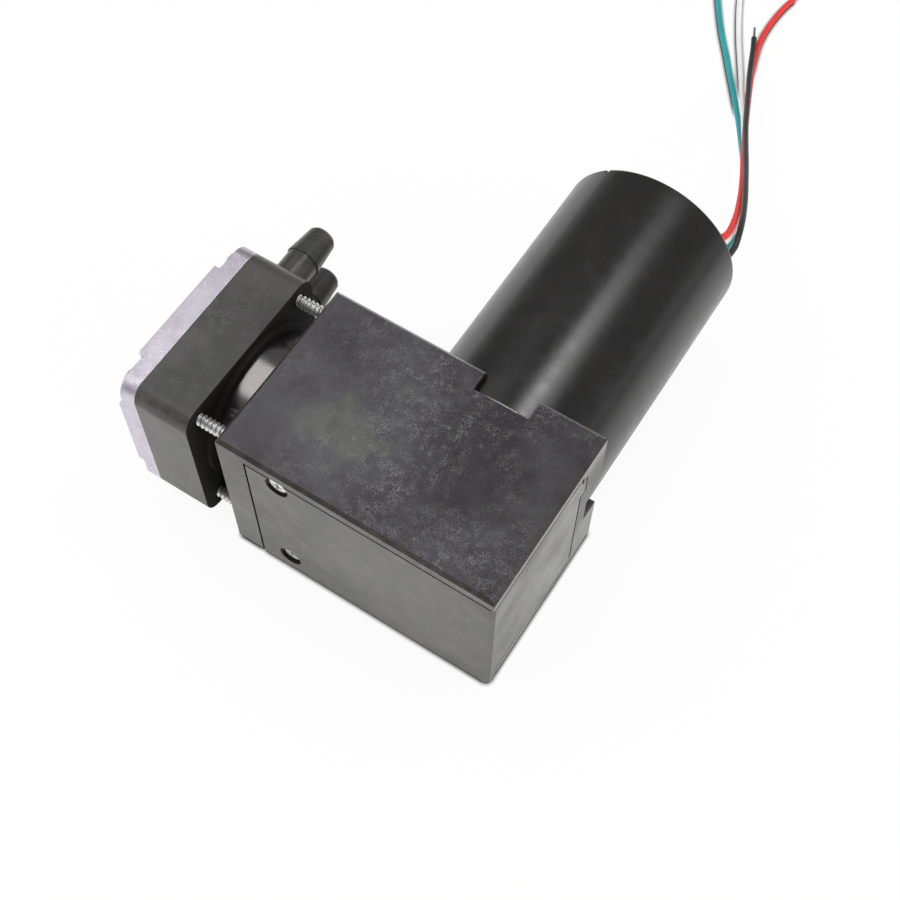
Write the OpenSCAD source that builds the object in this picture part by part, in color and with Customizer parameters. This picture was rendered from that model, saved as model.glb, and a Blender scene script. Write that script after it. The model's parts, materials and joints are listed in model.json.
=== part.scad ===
// Small vacuum pump: one wobble piston, driven by a brushless motor.
// The piston line runs along X, the crank and motor axis along Y, and Z is up.
// The origin is on the underside, below the crank axis, in the plane of the piston.
// All lengths are in millimetres.

/* [Crankcase] */
// Length of the crankcase along the piston line
case_l = 64; // [62:0.5:72]
// Width of the crankcase along the motor axis
case_w = 42; // [41:0.5:46]
// Height of the crankcase
case_h = 43; // [42.8:0.2:48]
// Distance from the crank axis to the right-hand face
crank_to_right = 21.5; // [21.4:0.1:24]
// Wall thickness of the crankcase and its cover
wall = 3; // [2.4:0.1:3.4]
// Thickness of the floor of the crankcase
floor_t = 2.8; // [2.4:0.1:3.4]
// Chamfer along the outer edges of the crankcase
edge_chamfer = 0.8; // [0.3:0.1:1]
// Width of the fixed pillar to the left of the front cover
pillar_w = 6.5; // [6.2:0.1:8]
// Depth of the socket that holds the motor
socket_depth = 5; // [4:0.5:6]
// Thickness of the bulkhead that the motor is screwed to
bulkhead_t = 3.2; // [2.6:0.2:3.6]
// Width of the notches where the motor meets the outer faces
notch_w = 12.8; // [8:0.2:16]

/* [Front cover] */
// Gap between the cover and the crankcase around it
cover_gap = 0.4; // [0.15:0.05:0.5]
// Distance from the left face to the cover screws
cover_screw_x = 14.2; // [13:0.2:18]
// Diameter of the cover screws
cover_screw_d = 2.5; // [2:0.1:3]
// Length of the cover screws under their heads
cover_screw_l = 8.1; // [6:0.1:9]
// Depth of the recess for each cover screw's head
cover_recess = 1.9; // [1.7:0.1:2]

/* [Cylinder] */
// Bore of the cylinder sleeve
bore_d = 28; // [27:0.2:28.4]
// Wall thickness of the sleeve
sleeve_t = 2.5; // [1.5:0.1:2.6]
// Width of the collar that the head block carries around the sleeve
collar_t = 1.5; // [1:0.1:2]
// Height of that collar above the head block's inner face
collar_h = 1.1; // [0.6:0.1:2]
// Gap between the crankcase and the head block
gap_l = 7.7; // [6:0.1:10]
// How deep the sleeve sits in the head block
sleeve_seat = 3; // [2:0.25:4]
// Thickness of the flat gasket under the sleeve
sleeve_gasket_t = 0.5; // [0.3:0.1:0.8]

/* [Head] */
// Thickness of the head block
block_t = 13; // [12:0.5:16]
// Width of the head block
block_w = 43; // [42:0.5:46]
// Height of the head block
block_h = 39.2; // [38.6:0.2:42]
// Corner radius of the head block and its cover
block_r = 4; // [2:0.5:5]
// Thickness of the web that carries the valves
valve_web = 3.3; // [3:0.1:4]
// Thickness of the head cover at its corners
cover_plate_t = 3.8; // [3:0.1:5]
// Height of the raised pad on the head cover
cover_pad_h = 1.3; // [0.6:0.1:2]
// Thickness of the gasket between the head block and its cover
head_gasket_t = 0.6; // [0.4:0.1:1]
// Distance of the head screws from the cylinder axis, along Y
head_screw_y = 17; // [16.6:0.1:17.2]
// Distance of the head screws from the cylinder axis, along Z
head_screw_z = 15.7; // [15.2:0.1:15.9]
// Outer diameter of the head screws
head_screw_d = 2.9; // [2.5:0.1:3.1]

/* [Ports] */
// Distance of the hose ports above and below the cylinder axis
port_z = 7.5; // [7:0.25:8]
// Bore of the hose ports
port_bore_d = 4; // [3:0.25:4.5]
// Neck diameter of the hose ports
port_neck_d = 7.5; // [7:0.1:7.8]
// Diameter of the ports at the shoulder of the barb
port_barb_d = 8.2; // [7.9:0.1:9]
// Diameter of the ports at their tip
port_tip_d = 6.4; // [5.6:0.1:7]
// Length of the neck from the head block to the barb's shoulder
port_neck_l = 8.6; // [6:0.2:12]
// Length of the tapered barb
port_barb_l = 8; // [5:0.5:10]

/* [Piston and crank] */
// Throw of the crank, half the stroke
crank_throw = 2; // [1.6:0.1:2.2]
// Gap between the piston and the valve web at top dead centre
top_gap = 0.5; // [0.3:0.1:1]
// Thickness of the disc that clamps the piston cup
retainer_t = 2; // [1.8:0.1:2.4]
// Thickness of the piston cup
cup_t = 0.8; // [0.5:0.1:1.2]
// Thickness of the disc on the end of the connecting rod
rod_disc_t = 3; // [2:0.25:4]
// Thickness of the connecting rod
rod_t = 6; // [5:0.25:7]
// Outer diameter of the crank bearing
crank_bearing_d = 21; // [20:0.5:22]
// Bore of the crank bearing
crank_journal_d = 12; // [11.6:0.1:12.2]
// Width of the crank bearing
crank_bearing_w = 5; // [4:0.25:5.5]
// Radius of the counterweight
weight_r = 15; // [12:0.5:16]

/* [Motor] */
// Outer diameter of the motor
motor_d = 42; // [41:0.1:42.4]
// Length of the motor behind its mounting face
motor_l = 66.5; // [64:0.5:74]
// Wall thickness of the steel can
can_t = 1.2; // [0.8:0.1:1.6]
// Thickness of the bright flange rim in front of the can
rim_t = 0.6; // [0.4:0.1:1.5]
// Diameter of the motor shaft
shaft_d = 5; // [4:0.1:5.4]
// Outer diameter of the motor bearings
bearing_d = 14; // [13:0.25:15]
// Width of the motor bearings
bearing_w = 5; // [4:0.25:5.5]
// Length of the stator's stack of laminations
stack_l = 34; // [24:1:36]
// Air gap between the magnets and the stator
air_gap = 0.7; // [0.4:0.1:1]
// Radius of the circle of motor screws
motor_screw_r = 14; // [13:0.25:15]
// Diameter of the motor screws
motor_screw_d = 3; // [2.5:0.1:3.2]

/* [Leads] */
// Diameter of each lead's insulation
lead_d = 1.46; // [1.2:0.02:1.7]
// Diameter of each lead's bare tinned end
lead_wire_d = 0.8; // [0.5:0.05:1]

/* [Hidden] */
$fn = 64;
fit = 0.02;         // radial clearance of pressed and screwed joints
slip = 0.05;        // radial clearance of parts that slide together
over = 1;           // how far a cut runs past a face

// Places that follow from the sizes above
x_right = crank_to_right;
x_left = x_right - case_l;
y_front = -case_w / 2 - 0.5;
y_rear = y_front + case_w;
axis_z = case_h / 2;
y_mount = y_rear - socket_depth;
y_bulkhead = y_mount - bulkhead_t;
y_can = y_mount + rim_t;
y_end = y_mount + motor_l;
roof_z = case_h - wall;
inner_x = x_left + wall;
cover_x = x_left + pillar_w;
bore_r = bore_d / 2;
sleeve_r = bore_r + sleeve_t;
collar_r = sleeve_r + collar_t;
case_seat = wall - 1;
x_sleeve_end = x_left + case_seat;
x_block_in = x_left - gap_l;
x_block_out = x_block_in - block_t;
x_web = x_block_in - sleeve_seat;
x_chamber = x_web - valve_web;
x_plate = x_block_out - cover_plate_t;
x_pad = x_plate - cover_pad_h;
x_port = x_block_out + port_neck_d / 2 + 0.15;
block_y = block_w / 2;
chamber_y = head_screw_y - head_screw_d / 2 - 3;
chamber_z1 = 1.3;
chamber_z2 = block_h / 2 - 4.5;

tab_gap = 0.4;
tab_l = 1.5;
tab_h = 5.3;
tab_z1 = roof_z - 2.6;
tab_z0 = tab_z1 - tab_h;

// Piston and crank, drawn at top dead centre
pin_x = -crank_throw;
x_face = x_web + top_gap;
x_cup = x_face + retainer_t;
x_disc = x_cup + cup_t;
x_rod = x_disc + rod_disc_t;
cup_r = bore_r - crank_throw - 0.2;
retainer_r = cup_r - 1.4;
rod_eye_r = crank_bearing_d / 2 + 2.5;
journal_r = crank_journal_d / 2;
hub_r = journal_r + 1;
y_shoulder = crank_bearing_w / 2;
y_weight = y_shoulder + 1.5;
y_hub_end = y_bulkhead - 0.5;
clamp_l = (y_hub_end - y_weight) * 0.36;
weight_t = y_hub_end - y_weight - clamp_l;
set_screw_r = clamp_l * 0.44;

// Motor
motor_r = motor_d / 2;
can_in = motor_r - can_t;
shaft_r = shaft_d / 2;
bearing_r = bearing_d / 2;
pilot_r = bearing_r + 1.2;
pilot_h = bulkhead_t - 1;
y_front_bearing = y_mount - 0.9;
flange_t = y_front_bearing + bearing_w - y_mount;
y_stack = y_mount + 12.5;
stator_in = can_in - 8.2;
magnet_r = stator_in - air_gap;
rotor_r = magnet_r - 2.6;
slot_r1 = stator_in + 1.5;
slot_r2 = can_in - 2.4;
slots = 12;
poles = 4;
y_cap = y_end - 5;
cap_t = motor_d / 12;
y_rear_bearing = y_cap - 2.5;
y_board = y_cap - 6.5;
board_t = 1.6;
board_r = (can_in + bearing_r + 2) / 2;
shaft_end = y_rear_bearing + bearing_w - 0.3;

// Screws
cover_head_d = 4.8;
cover_screw_z = case_h / 2 - wall - cover_head_d / 2 - 0.1;
cover_screw_tip = y_front + cover_recess + cover_screw_l;
head_head_d = 5.5;
head_head_h = 1.4;
boss_r = 3.4;

// Lead exit, a row of four leads near the rim of the rear cap
exit_angle = 21.5;
exit_r = can_in - 3.4;
exit_x = exit_r * cos(exit_angle);
exit_z = axis_z + exit_r * sin(exit_angle);
lead_pitch = 2;
grommet_l = 4 * lead_pitch + 0.6;
grommet_w = 3;
grommet_lip = 0.7;
y_exit = y_cap + cap_t + 1;

// Routes of the leads, from the rear cap down to the surface and along it
red_path = [[14.2, 81.5, 30.3], [14.4, 83, 30.4], [15, 85, 29.9], [15.4, 87.8, 28.6], [14.8, 92.2, 26.4],
    [13.7, 97.2, 23.7], [12.2, 102.6, 20.9], [10.3, 108.5, 18.2], [8, 114.7, 15.7], [5.3, 121.3, 13.2],
    [2.6, 128.1, 10.6], [-0.2, 135.4, 8], [-2.9, 142.5, 5.6], [-5.3, 149, 3.6], [-7.5, 154.9, 2.1],
    [-9.5, 160.5, 1.1], [-11.1, 165.7, 0.75], [-12.2, 170.4, 0.75], [-12.7, 175.5, 0.75],
    [-12.7, 180.4, 0.75], [-12.3, 185, 0.75], [-11.6, 188.8, 0.75]];
white_path = [[14.9, 81.5, 28.4], [15, 83, 28.4], [15.6, 85.2, 27.9], [15.8, 88.2, 26.5], [15.3, 92.4, 24.5],
    [14.1, 98.2, 21.5], [12.2, 104.8, 18.3], [9.8, 111.7, 15.3], [7.2, 118.3, 12.6], [4.4, 125, 10],
    [1.3, 132, 7.4], [-1.8, 138.7, 5], [-4.8, 145.1, 3.1], [-7.9, 151, 1.7], [-10.9, 156.5, 0.9],
    [-13.9, 161.8, 0.75], [-16.9, 167.1, 0.75], [-19.9, 172.8, 0.75], [-22.8, 178.8, 0.75],
    [-25.1, 184.4, 0.75]];
teal_path = [[15.6, 81.5, 26.5], [15.8, 83, 26.4], [16.2, 85.5, 25.4], [16.3, 89.1, 23.7], [15.8, 93.7, 21.6],
    [14.6, 99.4, 19], [12.7, 105.6, 16.2], [10.3, 112, 13.4], [7.5, 118.6, 10.6], [4.4, 125.1, 8],
    [1.3, 131.2, 5.6], [-2, 137.4, 3.5], [-5.3, 143.2, 1.9], [-8.6, 148.4, 1], [-11.7, 152.8, 0.75],
    [-14.8, 157.1, 0.75], [-17.8, 161.4, 0.75], [-21.2, 166, 0.75], [-24.6, 171, 0.75],
    [-27.9, 176.3, 0.75], [-30.4, 180.5, 0.75]];
black_path = [[16.4, 81.5, 24.7], [16.8, 83, 24.8], [17.7, 84.9, 25.3], [18, 87.2, 26.2], [17.4, 90, 26.6],
    [16.4, 93.6, 26], [15.1, 97.7, 24.6], [13.1, 103.2, 22.4], [10.5, 109.7, 19.7], [7.3, 117.4, 16.6],
    [3.7, 125.6, 13.4], [0.1, 133.9, 10.4], [-2.8, 141.3, 7.9], [-5.3, 147.7, 5.9], [-8, 154.4, 4.1],
    [-10.4, 160.8, 2.9], [-12.2, 165.6, 2.4], [-13.7, 169, 2.3]];

// A slab in the YZ plane with rounded corners, from x0 to x1
module rounded_slab_x(x0, x1, w, h, r, cy = 0, cz = axis_z) {
    translate([x0, cy, cz]) rotate([90, 0, 90]) linear_extrude(x1 - x0) rounded_outline(w, h, r);
}

module rounded_outline(w, h, r) {
    square([w - 2 * r, h], center = true);
    square([w, h - 2 * r], center = true);
    for (a = [-1, 1], b = [-1, 1]) translate([a * (w / 2 - r), b * (h / 2 - r)]) circle(r);
}

// A rectangle with chamfered corners, from its low corner to its high corner
module chamfered(a0, b0, a1, b1, c) {
    polygon([[a0 + c, b0], [a1 - c, b0], [a1, b0 + c], [a1, b1 - c],
        [a1 - c, b1], [a0 + c, b1], [a0, b1 - c], [a0, b0 + c]]);
}

// Round bars and bores along each axis
module rod_x(x0, x1, r, y = 0, z = axis_z) {
    translate([x0, y, z]) rotate([0, 90, 0]) cylinder(h = x1 - x0, r = r);
}

module rod_y(y0, y1, r, x = 0, z = axis_z) {
    translate([x, y0, z]) rotate([-90, 0, 0]) cylinder(h = y1 - y0, r = r);
}

module cone_y(y0, y1, r0, r1, x = 0, z = axis_z) {
    translate([x, y0, z]) rotate([-90, 0, 0]) cylinder(h = y1 - y0, r1 = r0, r2 = r1);
}

module tube_y(y0, y1, r_out, r_in, x = 0, z = axis_z) {
    difference() {
        rod_y(y0, y1, r_out, x, z);
        rod_y(y0 - over, y1 + over, r_in, x, z);
    }
}

module block(p0, p1) {
    translate(p0) cube(p1 - p0);
}

// A flat outline in the XZ plane around the crank axis, from y0 to y1
module plate_y(y0, y1) {
    translate([0, y1, axis_z]) rotate([90, 0, 0]) linear_extrude(y1 - y0) children();
}

module at_head_screws() {
    for (sy = [-1, 1], sz = [-1, 1]) translate([0, sy * head_screw_y, axis_z + sz * head_screw_z]) children();
}

module at_cover_screws() {
    for (s = [-1, 1]) translate([x_left + cover_screw_x, 0, axis_z + s * cover_screw_z]) children();
}

module at_motor_screws() {
    for (a = [45:90:315]) translate([motor_screw_r * cos(a), 0, axis_z + motor_screw_r * sin(a)]) children();
}

// Cross recess of a small screw, as a cutter along +X or +Y from the head's face
module cross_slot(d, depth) {
    for (a = [0, 90]) rotate([a, 0, 0]) translate([-over, -d * 0.11, -d * 0.32]) cube([over + depth, d * 0.22, d * 0.64]);
}

// Moulded crankcase: roof, floor, left wall, rear frame and motor socket
module crankcase() {
    color("#3b3a3e") difference() {
        union() {
            difference() {
                crankcase_outside();
                crankcase_inside();
            }
            intersection() {
                at_head_screws() rod_x(inner_x - 0.5, cover_x - cover_gap, boss_r, z = 0);
                crankcase_outside();
            }
            intersection() {
                at_cover_screws() rod_y(y_front + wall, cover_screw_tip + 2, boss_r - 0.4, z = 0);
                crankcase_outside();
            }
        }
        rod_x(x_left - over, x_sleeve_end, sleeve_r + fit);
        rod_x(x_left, inner_x + over, bore_r + 0.5);
        at_head_screws() rod_x(x_left - over, cover_x - cover_gap - 0.8, head_screw_d / 2 + fit, z = 0);
        at_cover_screws() rod_y(y_front + wall, cover_screw_tip + 0.5, cover_screw_d / 2 + fit, z = 0);
        motor_socket();
        latch_slot();
    }
}

module crankcase_outside() {
    intersection() {
        translate([0, y_rear, 0]) rotate([90, 0, 0]) linear_extrude(case_w)
            chamfered(x_left, 0, x_right, case_h, edge_chamfer);
        translate([x_left, 0, 0]) rotate([90, 0, 90]) linear_extrude(case_l)
            chamfered(y_front, 0, y_rear, case_h, edge_chamfer);
    }
}

// The space inside, open to the front and to the right where the cover goes
module crankcase_inside() {
    deep_y = y_rear - wall;
    motor_x = -motor_r - 1.5;
    translate([0, 0, floor_t]) linear_extrude(roof_z - floor_t)
        polygon([[inner_x, y_front + wall], [cover_x, y_front + wall], [cover_x, y_front - over],
            [x_right + over, y_front - over], [x_right + over, seam_y()], [x_right - wall, seam_y()],
            [x_right - wall, y_bulkhead], [motor_x, y_bulkhead], [motor_x, deep_y], [inner_x, deep_y]]);
    block([cover_x, y_front - over, -over], [x_right + over, y_front + wall, floor_t + 0.01]);
}

function seam_y() = y_bulkhead - 0.5;

// Socket, bulkhead holes and the three notches beside the motor
module motor_socket() {
    rod_y(y_mount, y_rear + over, motor_r + slip);
    rod_y(y_bulkhead - over, y_mount + over, pilot_r + slip);
    at_motor_screws() rod_y(y_bulkhead - over, y_mount + over, motor_screw_d / 2 + fit, z = 0);
    block([-notch_w / 2, y_mount, axis_z], [notch_w / 2, y_rear + over, case_h + over]);
    block([-notch_w / 2, y_mount, -over], [notch_w / 2, y_rear + over, axis_z]);
    block([0, y_mount, axis_z - notch_w / 2], [x_right + over, y_rear + over, axis_z + notch_w / 2]);
}

// Notch in the rear frame for the snap tab at the top of the front cover's side
module latch_slot() {
    block([x_right - 1.9, seam_y() - over, tab_z0 - tab_gap],
        [x_right + over, seam_y() + tab_l + tab_gap, tab_z1 + tab_gap]);
}

// Front cover: one L-shaped moulding that closes the front and the right-hand side
module front_cover() {
    z0 = 0.3;
    z1 = roof_z - cover_gap;
    x0 = cover_x + cover_gap;
    y1 = seam_y() - cover_gap;
    color("#55534f") difference() {
        union() {
            block([x0, y_front, z0], [x_right, y_front + wall, z1]);
            block([x_right - wall, y_front, floor_t + cover_gap], [x_right, y1, z1]);
            block([x_right - 1.6, y1 - 0.5, tab_z0], [x_right, seam_y() + tab_l, tab_z1]);
        }
        cover_edges();
        at_cover_screws() {
            rod_y(y_front - over, y_front + cover_recess, cover_head_d / 2 + 0.25, z = 0);
            rod_y(y_front, y_front + wall + over, cover_screw_d / 2 + 0.1, z = 0);
        }
    }
}

// Chamfer along the upright corner between the cover's two walls
module cover_edges() {
    translate([x_right, y_front, 0]) rotate([0, 0, 45])
        cube([edge_chamfer * sqrt(2), edge_chamfer * sqrt(2), 3 * case_h], center = true);
}

module cover_screws() {
    color("silver") at_cover_screws() difference() {
        union() {
            rod_y(y_front + 0.35, y_front + cover_recess, cover_head_d / 2, z = 0);
            rod_y(y_front + cover_recess, cover_screw_tip, cover_screw_d / 2, z = 0);
        }
        translate([0, y_front + 0.35, 0]) rotate([0, 0, 90]) cross_slot(cover_head_d, 0.9);
    }
}

// Cylinder sleeve, held between the crankcase and the head block
module cylinder_sleeve() {
    color("#c9c2c2") difference() {
        rod_x(x_web + sleeve_gasket_t, x_sleeve_end, sleeve_r);
        rod_x(x_web, x_sleeve_end + over, bore_r);
    }
}

module sleeve_gasket() {
    color("#202020") difference() {
        rod_x(x_web, x_web + sleeve_gasket_t, sleeve_r);
        rod_x(x_web - over, x_web + over, bore_r);
    }
}

// Head block: sleeve seat, valve web, two chambers and two hose barbs
module head_block() {
    color("#464543") difference() {
        union() {
            rounded_slab_x(x_block_out, x_block_in, block_w, block_h, block_r);
            rod_x(x_block_in - 0.5, x_block_in + collar_h, collar_r);
            for (s = [-1, 1]) hose_port(axis_z + s * port_z);
        }
        rod_x(x_web, x_block_in + collar_h + over, sleeve_r + fit);
        for (s = [-1, 1]) {
            chamber(s);
            rod_y(chamber_y - over, block_y + port_neck_l + port_barb_l + over, port_bore_d / 2,
                x_port, axis_z + s * port_z);
            valve_holes(s);
        }
        valve_pocket();
        gasket_seat(fit);
        at_head_screws() rod_x(x_block_out - over, x_block_in + over, head_screw_d / 2 + 0.15, z = 0);
    }
}

module hose_port(z) {
    y0 = block_y - 0.5;
    y1 = block_y + port_neck_l;
    y2 = y1 + port_barb_l;
    nose = 0.8;
    rod_y(y0, y1 + 0.01, port_neck_d / 2, x_port, z);
    cone_y(y1, y2 - nose, port_barb_d / 2, port_tip_d / 2 + 0.1, x_port, z);
    cone_y(y2 - nose, y2, port_tip_d / 2 + 0.1, port_tip_d / 2 - nose * 0.6, x_port, z);
}

// Chamber above (s = 1) or below (s = -1) the rib across the head block
module chamber(s) {
    lo = s > 0 ? chamber_z1 : -chamber_z2;
    hi = s > 0 ? chamber_z2 : -chamber_z1;
    block([x_block_out - over, -chamber_y, axis_z + lo], [x_chamber, chamber_y, axis_z + hi]);
}

pin_head_r = 2;
pin_head_t = 0.7;
pin_r = 1;
disc_r = 5;
disc_t = 0.7;
valve_lift = 0.5;
pocket_depth = disc_t + valve_lift + pin_head_t + 0.14;
flow_r = 3.1;
flow_hole_r = 1.1;
x_pocket = x_web - pocket_depth;

module valve_holes(s) {
    rod_x(x_chamber - over, x_web + over, pin_r + fit, z = axis_z + s * port_z);
    for (a = [30:60:330])
        rod_x(x_chamber - over, x_web + over, flow_hole_r, flow_r * cos(a), axis_z + s * port_z + flow_r * sin(a));
}

// Round pocket in the cylinder side of the web, which the inlet valve lifts into
module valve_pocket() {
    rod_x(x_pocket, x_web + over, disc_r + 0.9, z = axis_z + port_z);
}

module inlet_valve() {
    color("#7a3b2c") valve_disc(x_pocket + fit, axis_z + port_z);
}

module outlet_valve() {
    color("#7a3b2c") valve_disc(x_chamber - disc_t - fit, axis_z - port_z);
}

module valve_disc(x0, z) {
    difference() {
        rod_x(x0, x0 + disc_t, disc_r, z = z);
        rod_x(x0 - over, x0 + disc_t + over, pin_r + slip, z = z);
    }
}

// Headed pins that hold the two valve discs to the web
module valve_pins() {
    color("silver") {
        z_in = axis_z + port_z;
        z_out = axis_z - port_z;
        x_in = x_pocket + disc_t + valve_lift + 0.06;
        x_out = x_chamber - disc_t - valve_lift - 0.06;
        rod_x(x_in, x_in + pin_head_t, pin_head_r, z = z_in);
        rod_x(x_chamber + 0.3, x_in + 0.1, pin_r, z = z_in);
        rod_x(x_out - pin_head_t, x_out, pin_head_r, z = z_out);
        rod_x(x_out - 0.1, x_web - 0.3, pin_r, z = z_out);
    }
}

// Frame around both chambers, let into the outer face of the head block
module gasket_seat(grow) {
    m = 1.9;
    difference() {
        block([x_block_out - (grow > 0 ? over : 0), -chamber_y - m - grow, axis_z - chamber_z2 - m - grow],
            [x_block_out + head_gasket_t, chamber_y + m + grow, axis_z + chamber_z2 + m + grow]);
        if (grow == 0) for (s = [-1, 1]) translate([-1, 0, 0]) chamber(s);
    }
}

module head_gasket() {
    color("#181818") gasket_seat(0);
}

// Cast head cover: a plate with a raised pad, stepped down at its four corners
module head_cover() {
    step_y = head_screw_y - 4.3;
    step_z = head_screw_z - 4;
    color("#cfc9d2") difference() {
        union() {
            rounded_slab_x(x_plate, x_block_out, block_w, block_h, block_r);
            intersection() {
                rounded_slab_x(x_pad, x_plate + 0.5, block_w, block_h, block_r);
                union() {
                    rounded_slab_x(x_pad, x_plate + 0.5, block_w + 2, 2 * step_z, 1);
                    rounded_slab_x(x_pad, x_plate + 0.5, 2 * step_y, block_h + 2, 1);
                }
            }
        }
        at_head_screws() rod_x(x_pad - over, x_block_out + over, head_screw_d / 2 + 0.2, z = 0);
        for (s = [-1, 1]) translate([x_block_out - 1, 0, 0]) cover_relief(s);
    }
}

// Shallow relief in the inner face of the head cover, over each chamber
module cover_relief(s) {
    lo = s > 0 ? chamber_z1 : -chamber_z2;
    hi = s > 0 ? chamber_z2 : -chamber_z1;
    block([0, -chamber_y, axis_z + lo], [1 + over, chamber_y, axis_z + hi]);
}

// Four long screws from the head cover into the crankcase
module head_screws() {
    color("#d8d8d8") at_head_screws() difference() {
        union() {
            rod_x(x_plate - head_head_h, x_plate, head_head_d / 2, z = 0);
            rod_x(x_plate - 0.1, cover_x - cover_gap - 1.6, head_screw_d / 2, z = 0);
        }
        translate([x_plate - head_head_h, 0, 0]) cross_slot(head_head_d, 0.9);
    }
}

// Ball bearing parts: ball_r is the radius of the circle that the balls run on
function ball_circle(r_in, r_out) = (r_in + r_out) / 2;
function race_gap(r_in, r_out) = (r_out - r_in) * 0.46;

module bearing_outer(y0, w, r_in, r_out, x = 0, balls = 9) {
    c = ball_circle(r_in, r_out);
    g = race_gap(r_in, r_out);
    tube_y(y0, y0 + w, r_out, c + g / 2, x);
    for (k = [0:balls - 1])
        translate([x + c * cos(k * 360 / balls), y0 + w / 2, axis_z + c * sin(k * 360 / balls)]) sphere(g / 2 - 0.03);
}

module bearing_inner(y0, w, r_in, r_out, x = 0) {
    tube_y(y0, y0 + w, ball_circle(r_in, r_out) - race_gap(r_in, r_out) / 2, r_in + fit, x);
}

module front_bearing() {
    color("silver") bearing_outer(y_front_bearing, bearing_w, shaft_r, bearing_r);
}

module rear_bearing() {
    color("silver") bearing_outer(y_rear_bearing, bearing_w, shaft_r, bearing_r);
}

module bearing_inner_rings() {
    color("silver") {
        bearing_inner(y_front_bearing, bearing_w, shaft_r, bearing_r);
        bearing_inner(y_rear_bearing, bearing_w, shaft_r, bearing_r);
    }
}

// Front flange of the motor: bright rim, plug inside the can and pilot boss
module motor_flange() {
    color("#b9b9b9") difference() {
        union() {
            rod_y(y_mount, y_can, motor_r);
            rod_y(y_mount, y_mount + flange_t, can_in - fit);
            rod_y(y_mount - pilot_h, y_mount + 0.5, pilot_r);
        }
        rod_y(y_front_bearing, y_mount + flange_t + over, bearing_r + fit);
        rod_y(y_mount - pilot_h - over, y_mount + over, shaft_r + 1);
        at_motor_screws() rod_y(y_mount - over, y_mount + flange_t + over, motor_screw_d / 2 + fit, z = 0);
    }
}

module motor_screws() {
    h = 1.6;
    color("silver") at_motor_screws() difference() {
        union() {
            rod_y(y_bulkhead - h, y_bulkhead, motor_screw_d * 0.9, z = 0);
            rod_y(y_bulkhead - 0.1, y_mount + flange_t - 0.5, motor_screw_d / 2, z = 0);
        }
        translate([0, y_bulkhead - h, 0]) rotate([0, 0, 90]) cross_slot(motor_screw_d * 1.8, 0.9);
    }
}

// Drawn steel can with a rolled rear edge and one assembly notch
module motor_can() {
    lip = 0.8;
    color("#262523") difference() {
        translate([0, y_end, axis_z]) rotate([90, 0, 0]) rotate_extrude($fn = 128) difference() {
            translate([can_in, 0]) square([can_t, y_end - y_can]);
            difference() {
                translate([motor_r - lip, -over]) square([lip + over, lip + over]);
                translate([motor_r - lip, lip]) circle(lip);
            }
        }
        translate([0, 0, axis_z]) rotate([0, -127.5, 0]) block([can_in - over, y_end - 1, -0.7], [motor_r + over, y_end + over, 0.7]);
    }
}

// Rear cap, let into the can, with the rear bearing's housing and the lead exit
module motor_rear_cap() {
    color("#2b2b2b") difference() {
        union() {
            rod_y(y_cap, y_cap + cap_t, can_in - fit);
            rod_y(y_rear_bearing, y_cap + 0.5, bearing_r + 1.5);
            at_board_posts() rod_y(y_board + board_t, y_cap + 0.5, 1.6, z = 0);
            rod_y(y_cap + cap_t - 0.5, y_cap + cap_t + 0.6, bearing_r + 1.2);
        }
        rod_y(y_rear_bearing - over, y_rear_bearing + bearing_w, bearing_r + fit);
        rod_y(y_rear_bearing, y_cap + cap_t - 0.4, shaft_r + 1);
        exit_slot(y_cap - over, y_cap + cap_t + over, slip);
    }
}

module at_board_posts() {
    for (a = [90, 210, 330]) translate([board_r * cos(a), 0, axis_z + board_r * sin(a)]) children();
}

// The slot for the row of leads, round-ended, across the rear cap
module exit_slot(y0, y1, grow, len = grommet_l, wid = grommet_w) {
    r = wid / 2 + grow;
    translate([exit_x, y0, exit_z]) rotate([0, -exit_angle, 0]) {
        for (s = [-1, 1]) translate([0, 0, s * (len - wid) / 2]) rotate([-90, 0, 0]) cylinder(h = y1 - y0, r = r);
        translate([-r, 0, -(len - wid) / 2]) cube([2 * r, y1 - y0, len - wid]);
    }
}

module lead_grommet() {
    color("#1c1c1c") {
        exit_slot(y_cap, y_cap + cap_t, 0);
        exit_slot(y_cap + cap_t, y_exit, grommet_lip);
    }
}

// Stator laminations with open slots, and the copper wound in them
module stator_core() {
    color("#6d6f73") plate_y(y_stack, y_stack + stack_l) difference() {
        circle(can_in - fit);
        circle(stator_in);
        for (k = [0:slots - 1]) rotate(k * 360 / slots) {
            translate([stator_in - over, -0.8]) square([slot_r1 + over - stator_in + 0.2, 1.6]);
            slot_shape(0);
        }
    }
}

module slot_shape(inset) {
    a0 = slot_r1 + inset;
    a1 = slot_r2 - inset;
    h0 = a0 * tan(180 / slots) - 1.4 - inset;
    h1 = a1 * tan(180 / slots) - 1.4 - inset;
    polygon([[a0, -h0], [a1, -h1], [a1, h1], [a0, h0]]);
}

module stator_windings() {
    turn_l = 4.5;
    color("#b3662e") {
        plate_y(y_stack - 0.3, y_stack + stack_l + 0.3)
            for (k = [0:slots - 1]) rotate(k * 360 / slots) slot_shape(0.12);
        for (y0 = [y_stack - 0.2 - turn_l, y_stack + stack_l + 0.2])
            translate([0, y0 + turn_l, axis_z]) rotate([90, 0, 0]) rotate_extrude() {
                translate([slot_r1 + 0.4, 0.8]) square([slot_r2 - slot_r1 - 0.8, turn_l - 1.6]);
                translate([slot_r1 + 1.2, 0]) square([slot_r2 - slot_r1 - 2.4, turn_l]);
            }
    }
}

// Driver board with its parts on the side that faces the rotor
module circuit_board() {
    color("#1d5a33") difference() {
        tube_y(y_board, y_board + board_t, can_in - 1, bearing_r + 2);
        exit_slot(y_board - over, y_board + board_t + over, 0.3);
    }
}

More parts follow.
